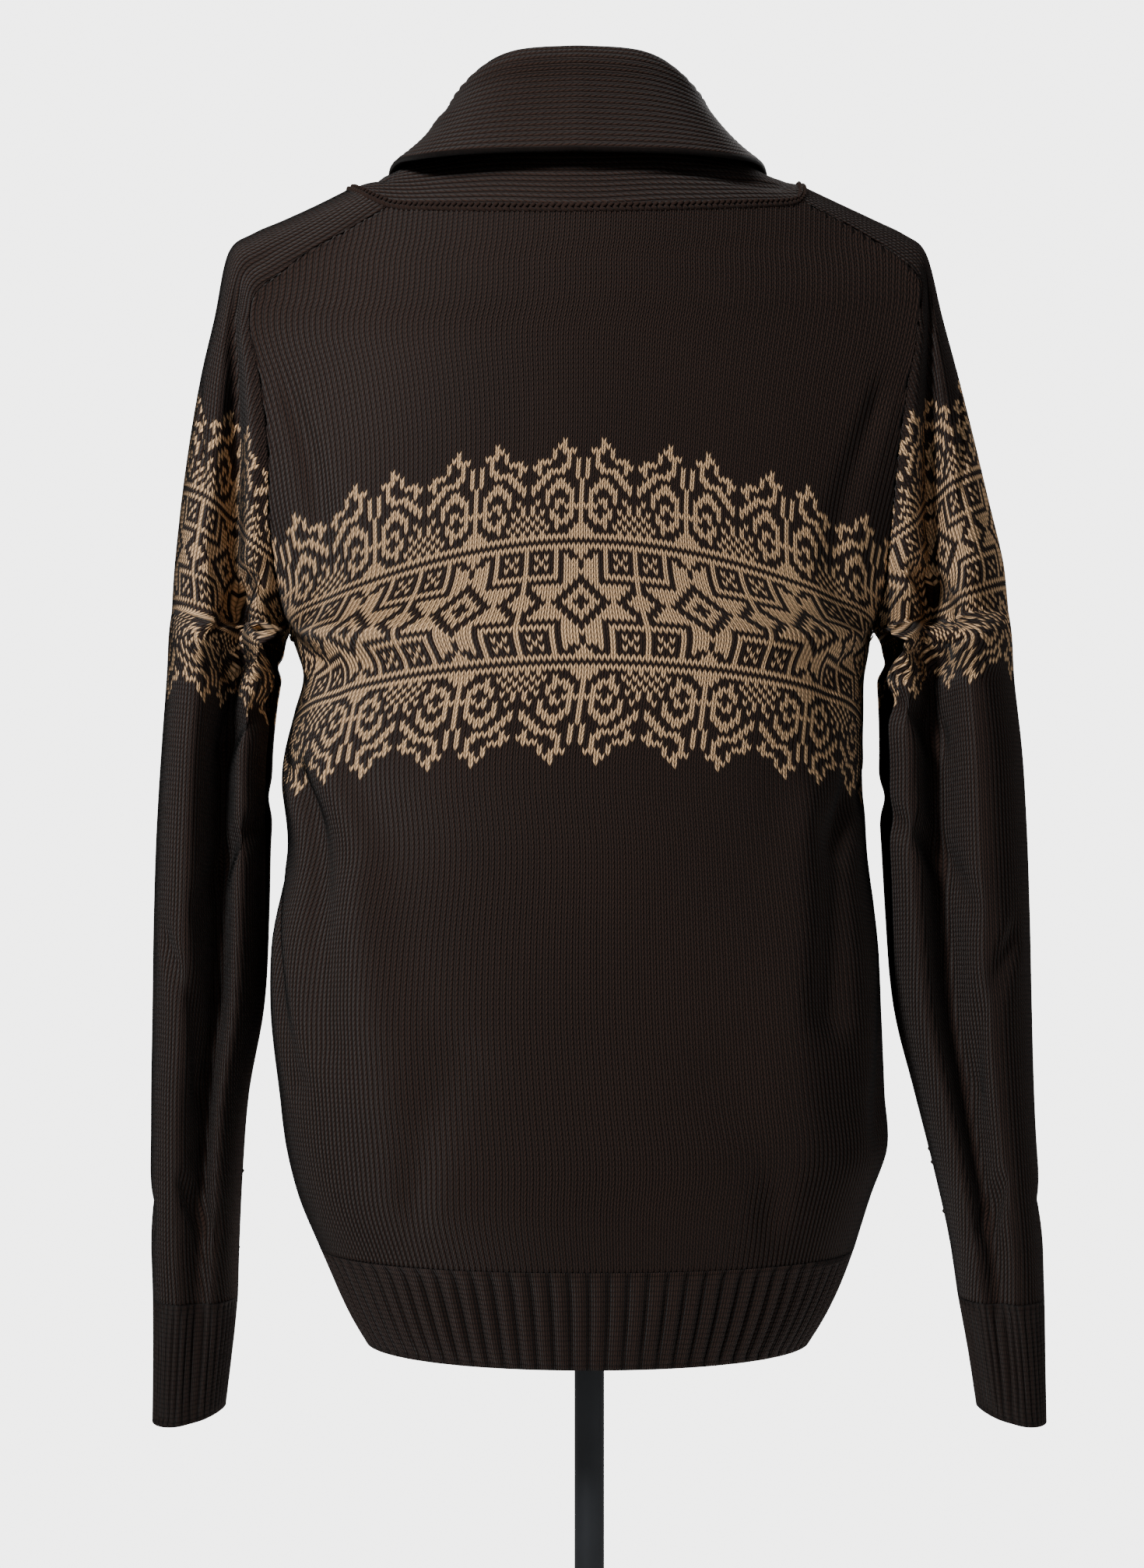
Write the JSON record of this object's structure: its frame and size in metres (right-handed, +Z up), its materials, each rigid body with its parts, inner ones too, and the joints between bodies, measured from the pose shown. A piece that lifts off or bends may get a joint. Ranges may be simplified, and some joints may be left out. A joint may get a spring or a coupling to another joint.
{
  "type": "cardigan on a dress form",
  "caption": "Knitted shawl-collar cardigan with a patterned band across it, ribbed hem and cuffs and a buttoned front, on a limbless dress form with a pole and a round base.",
  "frame": {"origin": "middle of the base's underside, on the pole's axis", "axes": "+Z up along the pole, +Y the way the wearer faces, so the cardigan's back looks towards -Y; +X to the wearer's right"},
  "size_m": [0.5219, 0.36, 1.3749],
  "materials": {
    "dark_brown_knit": "plain jersey knit",
    "dark_brown_rib": "ribbed knit",
    "horn": "satin",
    "form_cover": "matt jersey cover",
    "black_steel": "satin"
  },
  "bodies": {
    "root": {"back": "dark_brown_knit", "front_left": "dark_brown_knit", "front_right": "dark_brown_knit", "sleeve_left": "dark_brown_knit", "sleeve_right": "dark_brown_knit", "hem_back": "dark_brown_rib", "hem_front_left": "dark_brown_rib", "hem_front_right": "dark_brown_rib", "cuff_left": "dark_brown_rib", "cuff_right": "dark_brown_rib", "collar": "dark_brown_rib", "band_left": "dark_brown_rib", "band_right": "dark_brown_rib", "button_1": "horn", "button_2": "horn", "button_3": "horn", "button_4": "horn", "button_5": "horn", "dress_form": "form_cover", "stand_pole": "black_steel", "stand_base": "black_steel"}
  },
  "joints": []
}
